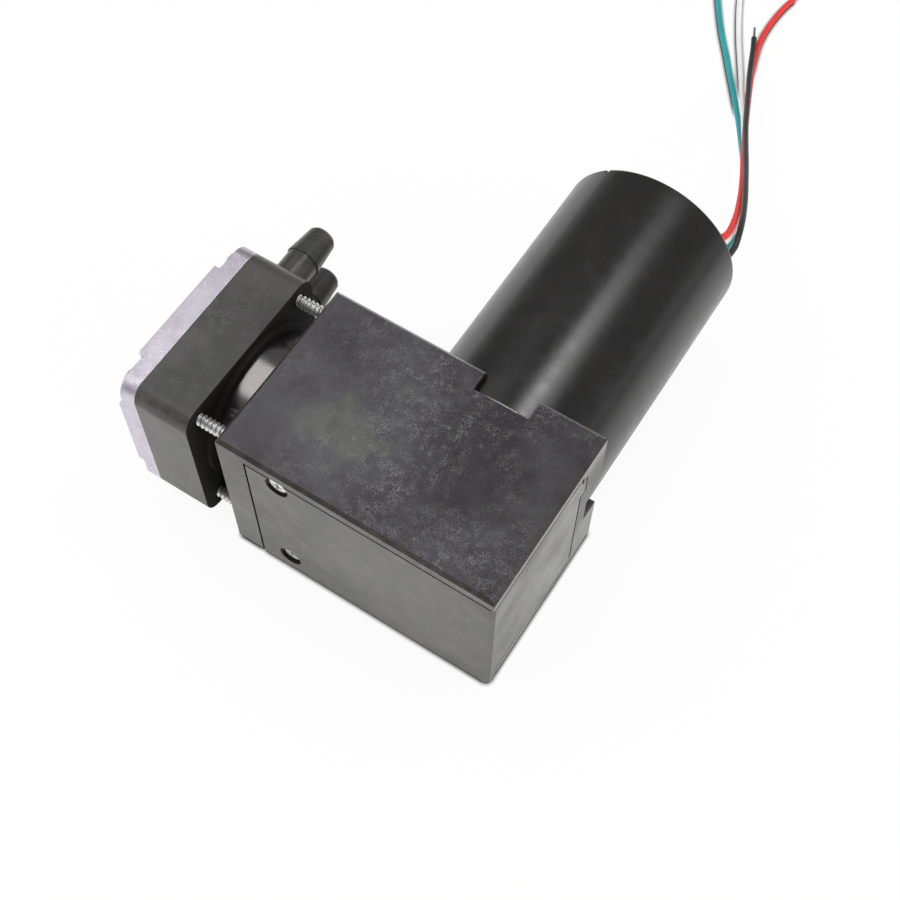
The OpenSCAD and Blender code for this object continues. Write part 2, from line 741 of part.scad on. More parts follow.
module board_parts() {
    color("#202022") {
        for (a = [60, 90, 120]) part_on_board(a, board_r * 0.84, [1, 0.38, 0.75]);
        part_on_board(200, board_r * 0.94, [1.25, 0.35, 1.25]);
        part_on_board(250, board_r * 0.94, [1, 0.3, 1]);
        part_on_board(300, board_r * 0.97, [0.88, 0.3, 1.25]);
        for (a = [160, 175, 225, 275]) part_on_board(a, board_r * 0.97, [0.3, 0.2, 0.5]);
    }
}

// One component; its size is stated in shares of about a tenth of the motor's diameter
module part_on_board(a, r, size) {
    s = size * motor_d / 10.5;
    translate([0, y_board - s[1], axis_z]) rotate([0, -a, 0]) translate([r - s[0] / 2, 0, -s[2] / 2]) cube(s);
}

module motor_shaft() {
    y0 = -y_shoulder - 0.9;
    color("#d0d0d0") difference() {
        rod_y(y0, shaft_end, shaft_r);
        block([-shaft_r, y_weight + weight_t, axis_z + shaft_r - 0.5], [shaft_r, y_hub_end, axis_z + shaft_r + over]);
    }
}

module rotor_core() {
    color("#8a8c90") tube_y(y_stack - 1, y_stack + stack_l + 1, rotor_r, shaft_r + fit);
}

module rotor_magnets() {
    half = 180 / poles - 4;
    color("#4a4d52") plate_y(y_stack - 1, y_stack + stack_l + 1)
        for (k = [0:poles - 1]) rotate(k * 360 / poles) intersection() {
            difference() {
                circle(magnet_r);
                circle(rotor_r + fit);
            }
            polygon([[0, 0], [2 * magnet_r, -2 * magnet_r * tan(half)], [2 * magnet_r, 2 * magnet_r * tan(half)]]);
        }
}

// Sleeves that hold the rotor between its bearings
module rotor_spacers() {
    color("#c2a24a") {
        tube_y(y_front_bearing + bearing_w, y_stack - 1, shaft_r + 1.1, shaft_r + fit);
        tube_y(y_stack + stack_l + 1, y_rear_bearing, shaft_r + 1.1, shaft_r + fit);
    }
}

// Eccentric: off-centre journal, counterweight and hub, turned and milled from one piece
module eccentric() {
    color("#a9a9a9") difference() {
        union() {
            rod_y(-y_shoulder - 1.3, y_shoulder + 0.1, journal_r - fit, pin_x);
            rod_y(y_shoulder, y_weight + 0.1, hub_r, pin_x);
            rod_y(y_weight, y_hub_end, hub_r);
            counterweight();
        }
        rod_y(-y_shoulder - 2, y_hub_end + over, shaft_r + fit);
        translate([0, set_screw_y(), axis_z]) cylinder(h = hub_r + over, r = set_screw_r + fit);
        tube_y(-y_shoulder - 0.75, -y_shoulder - 0.05, journal_r + over, journal_r - 0.6, pin_x);
    }
}

module counterweight() {
    far = weight_r * 4 / 3;
    plate_y(y_weight, y_weight + weight_t) intersection() {
        circle(weight_r);
        polygon([[-1, -hub_r], [far, -far], [far, far], [-1, hub_r]]);
    }
}

function set_screw_y() = (y_weight + weight_t + y_hub_end) / 2;

module eccentric_set_screw() {
    z0 = axis_z + shaft_r - 0.5;
    color("#303030") difference() {
        translate([0, set_screw_y(), z0 + 0.02]) cylinder(h = hub_r - shaft_r, r = set_screw_r);
        translate([0, set_screw_y(), axis_z + hub_r - 1.7]) cylinder(h = 3, r = set_screw_r / 2, $fn = 6);
    }
}

// Spring clip that keeps the crank bearing on its journal
module journal_clip() {
    color("#404040") difference() {
        tube_y(-y_shoulder - 0.7, -y_shoulder - 0.1, journal_r + 1, journal_r - 0.58, pin_x);
        block([pin_x, -y_shoulder - 2, axis_z - 2.2], [pin_x + journal_r + 3, -y_shoulder + 1, axis_z + 2.2]);
    }
}

module crank_bearing_inner() {
    color("silver") bearing_inner(-crank_bearing_w / 2, crank_bearing_w, journal_r, crank_bearing_d / 2, pin_x);
}

module crank_bearing() {
    color("silver") bearing_outer(-crank_bearing_w / 2, crank_bearing_w, journal_r, crank_bearing_d / 2, pin_x, 12);
}

// Connecting rod: eye for the crank bearing, ribbed beam and piston disc in one piece
module connecting_rod() {
    beam0 = 5.2;
    beam1 = 8.5;
    eye_x = pin_x - rod_eye_r;
    pocket = (rod_t - 2.4) / 2;
    color("#b5b7ba") difference() {
        union() {
            rod_y(-rod_t / 2, rod_t / 2, rod_eye_r, pin_x);
            plate_y(-rod_t / 2, rod_t / 2)
                polygon([[x_rod - 0.1, -beam0], [eye_x + 4, -beam1], [eye_x + 4, beam1], [x_rod - 0.1, beam0]]);
            rod_x(x_disc, x_rod, cup_r - 0.4);
        }
        rod_y(-rod_t, rod_t, crank_bearing_d / 2 + fit, pin_x);
        for (y0 = [-rod_t / 2 - over, rod_t / 2 - pocket]) plate_y(y0, y0 + pocket + over)
            polygon([[x_rod + 3, -beam0 + 1.8], [eye_x - 2.5, -beam1 + 2.6], [eye_x - 2.5, beam1 - 2.6],
                [x_rod + 3, beam0 - 1.8]]);
        rod_x(x_disc - over, x_rod + 4, 1.5 + fit);
    }
}

// Piston cup, with its lip turned towards the head
module piston_cup() {
    lip_t = 0.7;
    color("#e6e2d8") difference() {
        rod_x(x_cup - retainer_t + 0.3, x_disc, cup_r);
        rod_x(x_cup - retainer_t - over, x_cup, cup_r - lip_t);
        rod_x(x_cup - over, x_disc + over, 1.5 + fit);
    }
}

module cup_retainer() {
    color("#9a9ca0") difference() {
        rod_x(x_face, x_cup, retainer_r);
        rod_x(x_face - over, x_cup + over, 1.5 + fit);
        translate([x_face - 0.01, 0, axis_z]) rotate([0, 90, 0]) cylinder(h = 1.41, r1 = 2.9 + fit, r2 = 1.5 + fit);
    }
}

module retainer_screw() {
    color("silver") difference() {
        union() {
            translate([x_face + 0.05, 0, axis_z]) rotate([0, 90, 0]) cylinder(h = 1.35, r1 = 2.85, r2 = 1.5);
            rod_x(x_face + 1.3, x_rod + 3.5, 1.5);
        }
        translate([x_face + 0.05, 0, axis_z]) cross_slot(5, 0.8);
    }
}

// A tube of radius r swept along a list of points, closed at both ends
function unit(v) = v / norm(v);
function route_dir(p, i) =
    i == 0 ? unit(p[1] - p[0]) :
    i == len(p) - 1 ? unit(p[i] - p[i - 1]) : unit(unit(p[i + 1] - p[i]) + unit(p[i] - p[i - 1]));
function ring_at(p, i, r, sides) =
    let (d = route_dir(p, i), a = unit(cross([0, 0, 1], d)), b = cross(d, a))
    [for (k = [0:sides - 1]) p[i] + r * (a * cos(k * 360 / sides) + b * sin(k * 360 / sides))];

// Points between the route's own points, so that a ring comes every few diameters
function mid_point(p, i) =
    let (a = i > 0 ? p[i - 1] : p[i], d = i < len(p) - 2 ? p[i + 2] : p[i + 1])
    (9 * (p[i] + p[i + 1]) - a - d) / 16;
function smooth(p) = [for (i = [0:len(p) - 2]) each [p[i], mid_point(p, i)], p[len(p) - 1]];

module swept_tube(p, r, sides = 8) {
    n = len(p);
    points = [for (i = [0:n - 1]) each ring_at(p, i, r, sides)];
    walls = [for (i = [0:n - 2], k = [0:sides - 1])
        let (k2 = (k + 1) % sides) [i * sides + k, i * sides + k2, (i + 1) * sides + k2, (i + 1) * sides + k]];
    ends = [[for (k = [0:sides - 1]) sides - 1 - k], [for (k = [0:sides - 1]) (n - 1) * sides + k]];
    polyhedron(points, concat(walls, ends));
}

// One lead, which leaves the grommet square to its face
module lead(path) {
    s = smooth(path);
    swept_tube([s[0], s[0] + [0, 0.3, 0], for (i = [1:len(s) - 1]) s[i]], lead_d / 2);
}

// The last few millimetres of a lead, stripped and tinned
module lead_end(path) {
    n = len(path);
    s = smooth(path);
    d = route_dir(s, len(s) - 1);
    strip_l = 4;
    swept_tube([path[n - 1], path[n - 1] + d * strip_l], lead_wire_d / 2, 8);
}

module lead_red() { color("#d8302f") lead(red_path); }
module lead_white() { color("#e8e8e4") lead(white_path); }
module lead_teal() { color("#1d9aa0") lead(teal_path); }
module lead_black() { color("#222222") lead(black_path); }

module lead_ends() {
    color("silver") for (p = [red_path, white_path, teal_path, black_path]) lead_end(p);
}

crankcase();
front_cover();
cover_screws();
cylinder_sleeve();
sleeve_gasket();
head_block();
head_gasket();
head_cover();
head_screws();
inlet_valve();
outlet_valve();
valve_pins();
motor_flange();
motor_screws();
motor_can();
motor_rear_cap();
stator_core();
stator_windings();
circuit_board();
board_parts();
front_bearing();
rear_bearing();
bearing_inner_rings();
motor_shaft();
rotor_core();
rotor_magnets();
rotor_spacers();
eccentric();
eccentric_set_screw();
journal_clip();
crank_bearing_inner();
crank_bearing();
connecting_rod();
piston_cup();
cup_retainer();
retainer_screw();
lead_grommet();
lead_red();
lead_white();
lead_teal();
lead_black();
lead_ends();
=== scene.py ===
"""The vacuum pump, dressed for the render: finishes, soft edges, screws, leads, floor, lamps and camera."""

import json
import math

import bmesh
import bpy
from mathutils import Matrix, Vector


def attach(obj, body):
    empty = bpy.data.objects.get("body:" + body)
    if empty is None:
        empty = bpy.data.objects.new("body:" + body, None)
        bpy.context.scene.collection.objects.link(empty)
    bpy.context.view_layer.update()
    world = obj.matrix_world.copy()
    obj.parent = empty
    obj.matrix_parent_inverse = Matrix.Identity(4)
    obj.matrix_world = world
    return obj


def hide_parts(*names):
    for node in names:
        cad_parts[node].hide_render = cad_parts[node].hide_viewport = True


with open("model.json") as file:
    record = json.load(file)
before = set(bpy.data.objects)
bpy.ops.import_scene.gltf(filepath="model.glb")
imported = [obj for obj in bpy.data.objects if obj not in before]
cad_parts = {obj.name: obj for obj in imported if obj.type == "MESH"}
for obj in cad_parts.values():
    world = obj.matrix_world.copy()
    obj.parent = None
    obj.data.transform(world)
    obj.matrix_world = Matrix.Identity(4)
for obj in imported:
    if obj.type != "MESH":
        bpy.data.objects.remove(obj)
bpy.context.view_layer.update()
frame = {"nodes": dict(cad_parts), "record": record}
nodes = frame["nodes"]

# Meshes are made in millimetres and scaled by MM. Textures, lamps and the camera are in metres.
MM = 0.001
UP = Vector((0, 0, 1))

# Places on the CAD pieces, in millimetres: the crankcase's outer faces, the height of the cylinder's and the
# motor's axes, and a plane just short of the head block's end
RIGHT_X = 21.5
FRONT_Y = -21.5
AXIS_Z = 21.5
BLOCK_END_X = -50.25

# Camera
SENSOR_W = 36
LENS = 58.82
CAMERA_PLACE = (0.06858, -0.11404, 0.29243)
CAMERA_RIGHT = (0.8427, 0.53832, 0.00784)
CAMERA_FORWARD = (-0.25154, 0.40656, -0.87831)


def add_camera():
    """The photo's camera, solved from the crankcase's corners, the motor's rim and the head."""
    data = bpy.data.cameras.new("photo_camera")
    data.sensor_width = SENSOR_W
    data.lens = LENS
    data.clip_start = 0.01
    camera = bpy.data.objects.new("photo_camera", data)
    right = Vector(CAMERA_RIGHT).normalized()
    forward = Vector(CAMERA_FORWARD).normalized()
    up = right.cross(forward).normalized()
    turn = Matrix((right, up, -forward)).transposed().to_4x4()
    camera.matrix_world = Matrix.Translation(CAMERA_PLACE) @ turn
    bpy.context.scene.collection.objects.link(camera)
    bpy.context.scene.camera = camera


# Node trees


class Tree:
    """A node tree, with short calls for the nodes that the finishes, the floor and the world share."""

    def __init__(self, inner):
        self.inner = inner

    def node(self, name):
        return self.inner.nodes[name]

    def put(self, node, **inputs):
        """Sets inputs of the node, whose names are written with _ for a space."""
        for key, value in inputs.items():
            node.inputs[key.replace("_", " ")].default_value = value
        return node

    def add(self, kind, **inputs):
        return self.put(self.inner.nodes.new(kind), **inputs)

    def link(self, output, socket):
        self.inner.links.new(output, socket)

    def feed(self, socket, value):
        """Links the socket to another node's output, or sets a plain number or an RGB colour on it."""
        if hasattr(value, "links"):
            self.link(value, socket)
        elif isinstance(value, tuple):
            socket.default_value = (*value, 1)
        else:
            socket.default_value = value

    def calculate(self, operation, *values):
        """A math node whose inputs are outputs of other nodes or plain numbers."""
        node = self.add("ShaderNodeMath")
        node.operation = operation
        for socket, value in zip(node.inputs, values):
            self.feed(socket, value)
        return node.outputs["Value"]

    def product(self, a, b):
        return self.calculate("MULTIPLY", a, b)

    def larger(self, a, b):
        return self.calculate("MAXIMUM", a, b)

    def span(self, source, low, high, start=0.3, end=0.7, how="LINEAR"):
        """Goes from low to high while source goes from start to end, and no further on either side."""
        node = self.add("ShaderNodeMapRange", From_Min=start, From_Max=end, To_Min=low, To_Max=high)
        node.interpolation_type = how
        self.link(source, node.inputs["Value"])
        return node.outputs["Result"]

    def part_of(self, vector, axis):
        """The X, Y or Z of a vector."""
        split = self.add("ShaderNodeSeparateXYZ")
        self.link(vector, split.inputs["Vector"])
        return split.outputs[axis]

    def coordinate(self, kind, axis):
        """The X, Y or Z of a texture coordinate, such as Object or Generated."""
        return self.part_of(self.add("ShaderNodeTexCoord").outputs[kind], axis)

    def blend(self, share, first, second):
        """A mix of two shaders, with the given share of the second."""
        node = self.add("ShaderNodeMixShader")
        self.link(share, node.inputs["Fac"])
        self.link(first.outputs[0], node.inputs[1])
        self.link(second.outputs[0], node.inputs[2])
        return node

    def white_rays(self):
        """1 for camera, glossy and transmission rays, which see a white background."""
        path = self.add("ShaderNodeLightPath")
        seen = self.larger(path.outputs["Is Camera Ray"], path.outputs["Is Glossy Ray"])
        return self.larger(seen, path.outputs["Is Transmission Ray"])


# Materials

finishes = {}

# The stretch of cloud noise that the tones are spread over. The noise seldom leaves it.
CLOUD_LOW = 0.39
CLOUD_SPREAD = 0.22


class Finish(Tree):
    """A material that finishes keeps under its name, with short calls for its textures."""

    def __init__(self, name):
        material = bpy.data.materials.new(name)
        material.use_nodes = True
        super().__init__(material.node_tree)
        self.shader = self.node("Principled BSDF")
        self.place = self.add("ShaderNodeTexCoord").outputs["Object"]
        finishes[name] = material

    def set(self, **inputs):
        self.put(self.shader, **inputs)

    def noise(self, scale, detail=3.0, roughness=0.6, stretch=(1, 1, 1), offset=0.0):
        """Noise with about scale features to the metre."""
        node = self.add("ShaderNodeTexNoise", Scale=scale, Detail=detail, Roughness=roughness)
        source = self.place
        if stretch != (1, 1, 1) or offset:
            mapping = self.add("ShaderNodeMapping", Scale=stretch, Location=(offset, offset, offset))
            self.link(self.place, mapping.inputs["Vector"])
            source = mapping.outputs["Vector"]
        self.link(source, node.inputs["Vector"])
        return node.outputs["Fac"]

    def ramp(self, source, stops):
        """Goes through the colours of stops, which are (position, colour) pairs."""
        node = self.add("ShaderNodeValToRGB")
        ramp = node.color_ramp
        while len(ramp.elements) < len(stops):
            ramp.elements.new(0.5)
        for element, (position, colour) in zip(ramp.elements, stops):
            element.position = position
            element.color = (*colour, 1)
        self.link(source, node.inputs["Fac"])
        return node.outputs["Color"]

    def levels(self, source, stops):
        """Goes through plain numbers from 0 to 1 instead of colours."""
        return self.ramp(source, [(position, (level, level, level)) for position, level in stops])

    def clouds(self, source, tones):
        """Broad clouds that go through the tones, evenly spread."""
        step = CLOUD_SPREAD / (len(tones) - 1)
        return self.ramp(source, [(CLOUD_LOW + step * i, tone) for i, tone in enumerate(tones)])

    def ridges(self, scale, detail):
        """Thin bright ridges, like crinkled fibre, from 0 to 1."""
        fold_at, ridge_from = 0.07, 0.025
        fold = self.calculate("PINGPONG", self.noise(scale, detail, 0.6), fold_at)
        return self.span(fold, 0, 1, ridge_from, fold_at)

    def along(self, axis):
        """The place along one axis of the row frame, in metres."""
        return self.part_of(self.place, axis)

    def facing(self, axis):
        """1 on faces that look along the axis, 0 on those at right angles, -1 on those that look back."""
        return self.part_of(self.add("ShaderNodeNewGeometry").outputs["Normal"], axis)

    def mix(self, share, first, second):
        """A mix of two colours, with the given share of the second."""
        node = self.add("ShaderNodeMix")
        node.data_type = "RGBA"
        self.feed(node.inputs["Factor"], share)
        self.feed(node.inputs[6], first)
        self.feed(node.inputs[7], second)
        return node.outputs[2]

    def bump(self, *layers):
        """Each layer is (height output, strength, distance in metres)."""
        below = None
        for height, strength, distance in layers:
            node = self.add("ShaderNodeBump", Strength=strength, Distance=distance)
            self.link(height, node.inputs["Height"])
            if below:
                self.link(below, node.inputs["Normal"])
            below = node.outputs["Normal"]
        self.link(below, self.shader.inputs["Normal"])

    def paint(self, colour, roughness):
        """Links the outputs that give the shader its colour and roughness."""
        self.link(colour, self.shader.inputs["Base Color"])
        self.link(roughness, self.shader.inputs["Roughness"])


# Moulded nylon

# Pale glass: the glass strokes' own colour, and also a painted highlight on the edges of flat tops
PALE_GLASS_AND_HIGHLIGHT = (0.19, 0.195, 0.195)
# Painted shade on chamfers
CHAMFER_PAINTED_SHADE = (0.006, 0.0055, 0.005)
# Painted shade in seams, recesses and gaps
GAP_PAINTED_SHADE = (0.010, 0.008, 0.007)
OLIVE = ((0.036, 0.036, 0.030), (0.070, 0.065, 0.056), (0.044, 0.045, 0.037), (0.094, 0.087, 0.076))
# Tones of the crankcase's faces that look up, darker and cooler than the sides: painted shade on the top
ROOF_TOP_PAINTED_SHADE = ((0.034, 0.028, 0.035), (0.046, 0.041, 0.048), (0.054, 0.054, 0.060), (0.082, 0.084, 0.078))
HEAD_OLIVE = ((0.030, 0.028, 0.026), (0.056, 0.053, 0.048), (0.044, 0.045, 0.038), (0.080, 0.074, 0.066))
# Tones of the head's faces that look up, darker and cooler than the sides: painted shade on the top
HEAD_TOP_PAINTED_SHADE = ((0.026, 0.022, 0.023), (0.044, 0.040, 0.041), (0.036, 0.038, 0.034), (0.062, 0.057, 0.056))

# Features to the metre
CLOUD_SCALE = 36
PATCH_SCALE = 30
STROKE_SCALE = 850
STROKE_BREAK_SCALE = 480
SHEEN_SCALE = 38
WAVE_SCALE = 240
GRAIN_SCALE = 1500


def moulded_nylon(name, tones, top_painted_shade=None, rough=(0.14, 0.36), flecks=1.0, seed=0.0, painted_rim_light=False,
        painted_shade_at=None, painted_shade_rough=0.9):
    """Glass-filled nylon: broad clouds through the given tones, with short crinkled strokes of pale glass in
    places, as strong as flecks says. Optional tones for faces that look up are painted shade on the top. A
    flag gives the edges of those faces and the chamfer at their rear a painted highlight, and their other
    chamfers painted shade. One of the functions below, if given, says where the part has painted shade in
    seams, recesses and gaps, and is matte."""
    look = Finish(name)
    cloud = look.noise(CLOUD_SCALE, 6, 0.62, offset=seed)
    colour = look.clouds(cloud, tones)
    # Painted shade on the top: faces that look up take their own darker, cooler tones
    if top_painted_shade:
        colour = look.mix(look.span(look.facing("Z"), 0, 1, 0.8, 0.97), colour, look.clouds(cloud, top_painted_shade))
    ridges = look.ridges(STROKE_SCALE, 2)
    strokes = look.product(ridges, look.span(look.noise(STROKE_BREAK_SCALE, 2), 0.2, 1, 0.42, 0.62))
    patches = look.span(look.noise(PATCH_SCALE, 7, 0.68, offset=seed + 3), 0.12, 1, 0.45, 0.62)
    colour = look.mix(look.product(look.product(patches, strokes), flecks), colour, PALE_GLASS_AND_HIGHLIGHT)
    roughness = look.span(look.noise(SHEEN_SCALE, 4, 0.6, offset=seed + 7), *rough, 0.36, 0.64)
    # Painted highlight and painted shade on the edges of the top
    if painted_rim_light:
        colour, roughness = paint_rim_light_and_shade(look, colour, roughness)
    # Painted shade, dark and matte, where the given function says
    if painted_shade_at:
        share = painted_shade_at(look)
        colour = look.mix(share, colour, GAP_PAINTED_SHADE)
        roughness = look.larger(roughness, look.product(share, painted_shade_rough))
    look.paint(colour, roughness)
    look.set(IOR=1.45)
    shallow_waves = (look.noise(WAVE_SCALE, 3), 0.08, 0.0001)
    fine_grain = (look.noise(GRAIN_SCALE, 3), 0.12, 0.00004)
    look.bump(shallow_waves, fine_grain)


def paint_rim_light_and_shade(look, colour, roughness):
    """Painted light on the edges of a flat top: a pale painted highlight where the top bends down and on the
    chamfer at its rear, and dark matte painted shade on its other chamfers."""
    highlight_share, chamfer_shade_share, chamfer_shade_rough = 0.8, 0.95, 0.6
    upward = look.facing("Z")
    # Painted highlight: a pale line on the rounded edge where the top bends down
    edge_highlight = look.levels(upward, [(0.8, 0), (0.88, 1), (0.975, 1), (0.9985, 0)])
    colour = look.mix(look.product(edge_highlight, highlight_share), colour, PALE_GLASS_AND_HIGHLIGHT)
    # Painted highlight on the chamfer at the rear
    rear = look.product(look.span(look.facing("Y"), 0, 1, 0.3, 0.6), look.span(upward, 0, 1, 0.3, 0.6))
    colour = look.mix(look.product(rear, highlight_share), colour, PALE_GLASS_AND_HIGHLIGHT)
    # Painted shade, dark and matte, on the other chamfers
    slope = look.levels(upward, [(0.12, 0), (0.28, 1), (0.66, 1), (0.71, 0.4), (0.76, 0.4), (0.85, 0)])
    chamfer_shade = look.product(slope, look.span(look.facing("Y"), 1, 0, 0.1, 0.4))
    colour = look.mix(look.product(chamfer_shade, chamfer_shade_share), colour, CHAMFER_PAINTED_SHADE)
    return colour, look.larger(roughness, look.product(chamfer_shade, chamfer_shade_rough))


def seam_walls(look):
    """Where the crankcase gets painted shade: its walls that line the seams and recesses, those that look to
    the right or to the front and lie behind its outer face there. The share goes from 0 to 1 between 1 and 2
    mm behind that face."""
    right = (RIGHT_X - 1) * MM
    front = (FRONT_Y + 1) * MM
    look_right = look.span(look.facing("X"), 0, 1, 0.6, 0.9)
    look_front = look.span(look.facing("Y"), 0, 1, -0.6, -0.9)
    behind_right = look.span(look.along("X"), 1, 0, right - MM, right)
    behind_front = look.span(look.along("Y"), 0, 1, front, front + MM)
    return look.larger(look.product(look_right, behind_right), look.product(look_front, behind_front))


def upper_edge(look):
    """Whatever looks up on the cover, which gets painted shade."""
    return look.span(look.facing("Z"), 0, 1, 0.2, 0.5)


def block_end(look):
    """The end of the head block that faces the crankcase, which gets painted shade in the gap."""
    end = BLOCK_END_X * MM
    return look.span(look.along("X"), 0, 1, end - 0.1 * MM, end)


def make_nylons():
    moulded_nylon("crankcase_nylon", OLIVE, ROOF_TOP_PAINTED_SHADE, painted_rim_light=True, painted_shade_at=seam_walls)
    moulded_nylon("cover_nylon", OLIVE, flecks=0.35, seed=1.7, painted_shade_at=upper_edge)
    moulded_nylon("head_nylon", HEAD_OLIVE, HEAD_TOP_PAINTED_SHADE, rough=(0.24, 0.34), flecks=0.5, seed=4.1,
        painted_shade_at=block_end, painted_shade_rough=0.8)


# Metals

# The stretch of a texture whose lines run round the Y axis
TURNING_MARKS = (1, 12, 1)


def metal(name, dark, light, rough, grain=1200, depth=0.00003, strength=0.2, stretch=(1, 1, 1)):
    """Bare metal: slow colour variation, uneven roughness and a fine grain."""
    colour_scale, sheen_scale = 120, 240
    look = Finish(name)
    look.set(Metallic=1.0)
    colour = look.ramp(look.noise(colour_scale, 4, 0.6, stretch), [(0.3, dark), (0.7, light)])
    look.paint(colour, look.span(look.noise(sheen_scale, 3, 0.6, stretch), *rough))
    look.bump((look.noise(grain, 2, 0.6, stretch), strength, depth))


def cast_metal(name, dark, light, spark, rough):
    """Blasted die casting: sandy grain, with small bright facets."""
    sand_scale, colour_scale, sheen_scale, dent_scale = 900, 150, 500, 420
    look = Finish(name)
    look.set(Metallic=1.0)
    sand = look.noise(sand_scale, 4, 0.75)
    body = look.ramp(look.noise(colour_scale, 5, 0.65), [(0.34, dark), (0.66, light)])
    facets = look.span(sand, 0, 1, 0.56, 0.7)
    colour = look.mix(facets, body, spark)
    look.paint(colour, look.span(look.noise(sheen_scale, 4, 0.7), *rough, 0.35, 0.65))
    dents = (look.noise(dent_scale, 4, 0.7), 0.3, 0.00012)
    look.bump(dents, (sand, 0.35, 0.00005))


def make_metals():
    cast_metal("cover_aluminium", (0.60, 0.56, 0.63), (0.72, 0.68, 0.75), (0.88, 0.86, 0.9), (0.36, 0.5))
    metal("sleeve_aluminium", (0.25, 0.235, 0.235), (0.32, 0.295, 0.30), (0.16, 0.24),
        grain=1500, depth=0.00002, strength=0.1)
    metal("flange_aluminium", (0.50, 0.49, 0.50), (0.62, 0.61, 0.62), (0.3, 0.42), stretch=TURNING_MARKS)
    metal("rod_aluminium", (0.46, 0.47, 0.48), (0.58, 0.59, 0.6), (0.4, 0.52),
        grain=900, depth=0.00008, strength=0.35)
    metal("screw_zinc", (0.74, 0.74, 0.74), (0.86, 0.86, 0.86), (0.34, 0.44),
        grain=1500, depth=0.00002, strength=0.12)
    metal("screw_black", (0.03, 0.03, 0.032), (0.06, 0.06, 0.062), (0.35, 0.5))
    metal("pin_steel", (0.5, 0.5, 0.51), (0.6, 0.6, 0.61), (0.2, 0.3))
    metal("bearing_steel", (0.56, 0.56, 0.57), (0.66, 0.66, 0.67), (0.1, 0.2))
    metal("shaft_steel", (0.55, 0.55, 0.56), (0.64, 0.64, 0.65), (0.12, 0.22))
    metal("eccentric_steel", (0.36, 0.36, 0.37), (0.46, 0.46, 0.47), (0.28, 0.4))
    metal("clip_steel", (0.06, 0.06, 0.065), (0.1, 0.1, 0.105), (0.35, 0.45))
    metal("lamination_steel", (0.16, 0.165, 0.18), (0.24, 0.245, 0.26), (0.35, 0.5),
        grain=300, depth=0.0001, strength=0.5, stretch=TURNING_MARKS)
    metal("winding_copper", (0.4, 0.15, 0.05), (0.55, 0.24, 0.09), (0.25, 0.4),
        grain=500, depth=0.0002, strength=0.6)
    metal("spacer_brass", (0.5, 0.34, 0.12), (0.62, 0.45, 0.18), (0.25, 0.35), stretch=TURNING_MARKS)
    metal("tinned_copper", (0.42, 0.42, 0.41), (0.55, 0.55, 0.54), (0.25, 0.4))


# Coatings, plastics and rubber


def coated(name, dark, light, rough, grain=1400, depth=0.00002, strength=0.15, coat=0.0, ior=1.5):
    """Paint, insulation, plastic, rubber or board lacquer."""
    colour_scale, sheen_scale = 110, 240
    look = Finish(name)
    look.set(Coat_Weight=coat, Coat_Roughness=0.25, IOR=ior)
    colour = look.ramp(look.noise(colour_scale, 3), [(0.3, dark), (0.7, light)])
    look.paint(colour, look.span(look.noise(sheen_scale, 3), *rough))
    look.bump((look.noise(grain, 2), strength, depth))


def make_coatings():
    coated("can_black", (0.0060, 0.0052, 0.0048), (0.0095, 0.0084, 0.0078), (0.22, 0.3),
        grain=2200, depth=0.00001, strength=0.06, ior=1.7)
    coated("cap_black", (0.016, 0.016, 0.016), (0.026, 0.026, 0.026), (0.4, 0.5))
    coated("magnet_grey", (0.08, 0.085, 0.095), (0.12, 0.125, 0.135), (0.35, 0.5))
    coated("board_green", (0.006, 0.06, 0.025), (0.01, 0.09, 0.04), (0.25, 0.35), coat=0.3)
    coated("board_part_black", (0.012, 0.012, 0.013), (0.02, 0.02, 0.022), (0.4, 0.55))
    coated("gasket_rubber", (0.01, 0.01, 0.01), (0.02, 0.02, 0.02), (0.55, 0.7))
    coated("valve_rubber", (0.14, 0.035, 0.02), (0.2, 0.05, 0.03), (0.5, 0.6))
    coated("cup_plastic", (0.62, 0.6, 0.53), (0.72, 0.7, 0.64), (0.35, 0.45))
    coated("lead_red", (0.70, 0.018, 0.014), (0.80, 0.028, 0.022), (0.5, 0.6))
    coated("lead_white", (0.8, 0.8, 0.79), (0.86, 0.86, 0.85), (0.35, 0.48))
    coated("lead_teal", (0.006, 0.29, 0.31), (0.01, 0.36, 0.38), (0.35, 0.48))
    coated("lead_black", (0.02, 0.02, 0.02), (0.03, 0.029, 0.028), (0.35, 0.48))


# Mesh making


def object_from(name, build):
    """Makes an object from what build(bm) makes in millimetres, in the row frame."""
    bm = bmesh.new()
    build(bm)
    bmesh.ops.recalc_face_normals(bm, faces=bm.faces)
    bmesh.ops.scale(bm, vec=(MM, MM, MM), verts=bm.verts)
    mesh = bpy.data.meshes.new(name)
    bm.to_mesh(mesh)
    bm.free()
    made = bpy.data.objects.new(name, mesh)
    bpy.context.scene.collection.objects.link(made)
    return made


def new_piece(name, build, slot, body, smooth_angle):
    """An object from build(bm) with its finish, which rides on the body."""
    piece = object_from(name, build)
    piece.data.materials.append(finishes[slot])
    smooth(piece.data, smooth_angle)
    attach(piece, body)
    return piece


def smooth(mesh, angle):
    """Smooth shading that breaks at edges sharper than the angle in degrees."""
    for face in mesh.polygons:
        face.use_smooth = True
    mesh.set_sharp_from_angle(angle=math.radians(angle))


# The CAD nodes that carry over

NODE_SMOOTH_ANGLE = 32

# How far the square edges of a node are rounded, in millimetres
SOFT_EDGES = {"crankcase": 0.12, "front_cover": 0.12, "motor_flange": 0.12, "cylinder_sleeve": 0.2,
    "motor_can": 0.2, "cup_retainer": 0.2, "motor_rear_cap": 0.25, "head_block": 0.3, "lead_grommet": 0.3,
    "connecting_rod": 0.3, "eccentric": 0.3, "head_cover": 0.35}
CHAMFER_EDGE = 0.3


